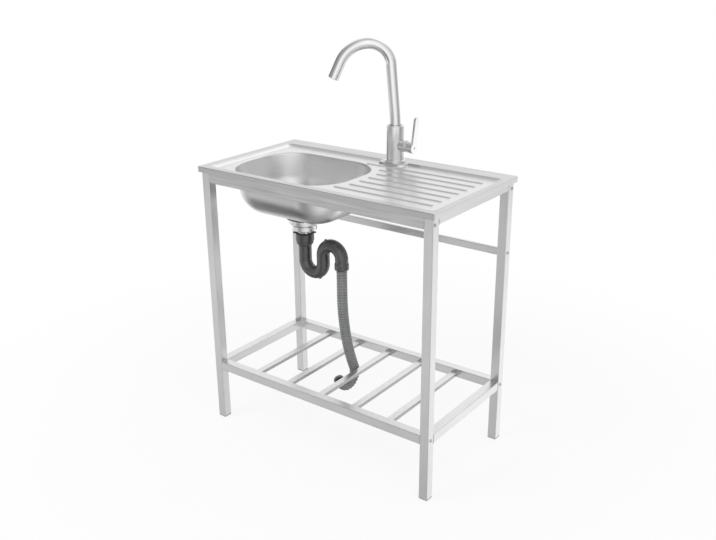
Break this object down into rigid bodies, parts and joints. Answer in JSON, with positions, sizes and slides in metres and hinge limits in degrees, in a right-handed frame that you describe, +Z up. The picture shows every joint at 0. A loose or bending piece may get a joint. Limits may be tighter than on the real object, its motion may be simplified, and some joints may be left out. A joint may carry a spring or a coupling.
{
  "type": "kitchen sink unit",
  "caption": "Stainless steel kitchen sink with a bowl, ridged draining board, swivel mixer tap, basket strainer, trap and drain hose on a tube stand with a slatted shelf.",
  "frame": {"origin": "on the floor under the middle of the sink top", "axes": "+X along the front to the right, +Y to the back, +Z up"},
  "size_m": [0.75, 0.4, 1.0939],
  "materials": {
    "sink_steel": "fine brushed satin",
    "frame_steel": "satin",
    "foot_plastic": "matt",
    "fixing_steel": "zinc plated",
    "plug_plastic": "matt",
    "waste_steel": "satin",
    "seal_rubber": "matt",
    "waste_plastic": "satin",
    "hose_plastic": "satin",
    "tap_chrome": "polished",
    "insert_plastic": "smooth",
    "tap_brass": "machined"
  },
  "bodies": {
    "stand": {"cartridge_dome_nut": "tap_chrome", "drain_hose": "hose_plastic", "foot_front_left": "foot_plastic", "foot_front_right": "foot_plastic", "foot_rear_left": "foot_plastic", "foot_rear_right": "foot_plastic", "frame_bolts": "fixing_steel", "inlet_tail_cold": "tap_brass", "inlet_tail_hot": "tap_brass", "leg_front_left": "frame_steel", "leg_front_right": "frame_steel", "leg_rear_left": "frame_steel", "leg_rear_right": "frame_steel", "rail_end_plugs": "plug_plastic", "shank_gasket": "seal_rubber", "shank_nut": "tap_brass", "shank_washer": "fixing_steel", "shelf_bar_1": "frame_steel", "shelf_bar_2": "frame_steel", "shelf_bar_3": "frame_steel", "shelf_bar_4": "frame_steel", "shelf_bar_5": "frame_steel", "shelf_rail_front": "frame_steel", "shelf_rail_left": "frame_steel", "shelf_rail_rear": "frame_steel", "shelf_rail_right": "frame_steel", "sink_bowl": "sink_steel", "sink_deck": "sink_steel", "strainer_body": "waste_steel", "strainer_gasket": "seal_rubber", "strainer_locknut": "waste_plastic", "tap_base_ring": "tap_chrome", "tap_body": "tap_chrome", "tap_o_ring": "seal_rubber", "tap_shank": "tap_brass", "tap_spout_bush": "tap_chrome", "trap_s_bend": "waste_plastic", "trap_seal": "seal_rubber", "trap_slip_nut": "waste_plastic", "trap_washer": "seal_rubber", "upper_back_brace": "frame_steel", "upper_rail_front": "frame_steel", "upper_rail_left": "frame_steel", "upper_rail_rear": "frame_steel", "upper_rail_right": "frame_steel", "valve_cartridge": "insert_plastic", "valve_housing": "tap_chrome"},
    "spout": {"spout_tube": "tap_chrome", "aerator_housing": "tap_chrome", "aerator_insert": "insert_plastic"},
    "lever_turn": {"cartridge_rotor": "tap_brass", "stem_pin": "fixing_steel"},
    "lever": {"lever_stem": "tap_brass", "lever_handle": "tap_chrome", "lever_cap": "insert_plastic", "lever_grub_screw": "fixing_steel"},
    "basket": {"strainer_basket": "waste_steel", "basket_stopper": "seal_rubber", "basket_knob": "waste_steel"}
  },
  "joints": [
    {"name": "spout_swivel", "type": "hinge", "parent": "stand", "child": "spout", "pos_m": [0.03, 0.148, 0.85], "axis": [0, 0, 1], "continuous": true},
    {"name": "lever_temperature", "type": "hinge", "parent": "stand", "child": "lever_turn", "pos_m": [0.072, 0.148, 0.811], "axis": [1, 0, 0], "range_deg": [-45, 45]},
    {"name": "lever_flow", "type": "hinge", "parent": "lever_turn", "child": "lever", "pos_m": [0.072, 0.148, 0.811], "axis": [0, 1, 0], "range_deg": [-6, 19]},
    {"name": "basket_lift", "type": "slide", "parent": "stand", "child": "basket", "axis": [0, 0, 1], "range_m": [0, 0.2]}
  ]
}
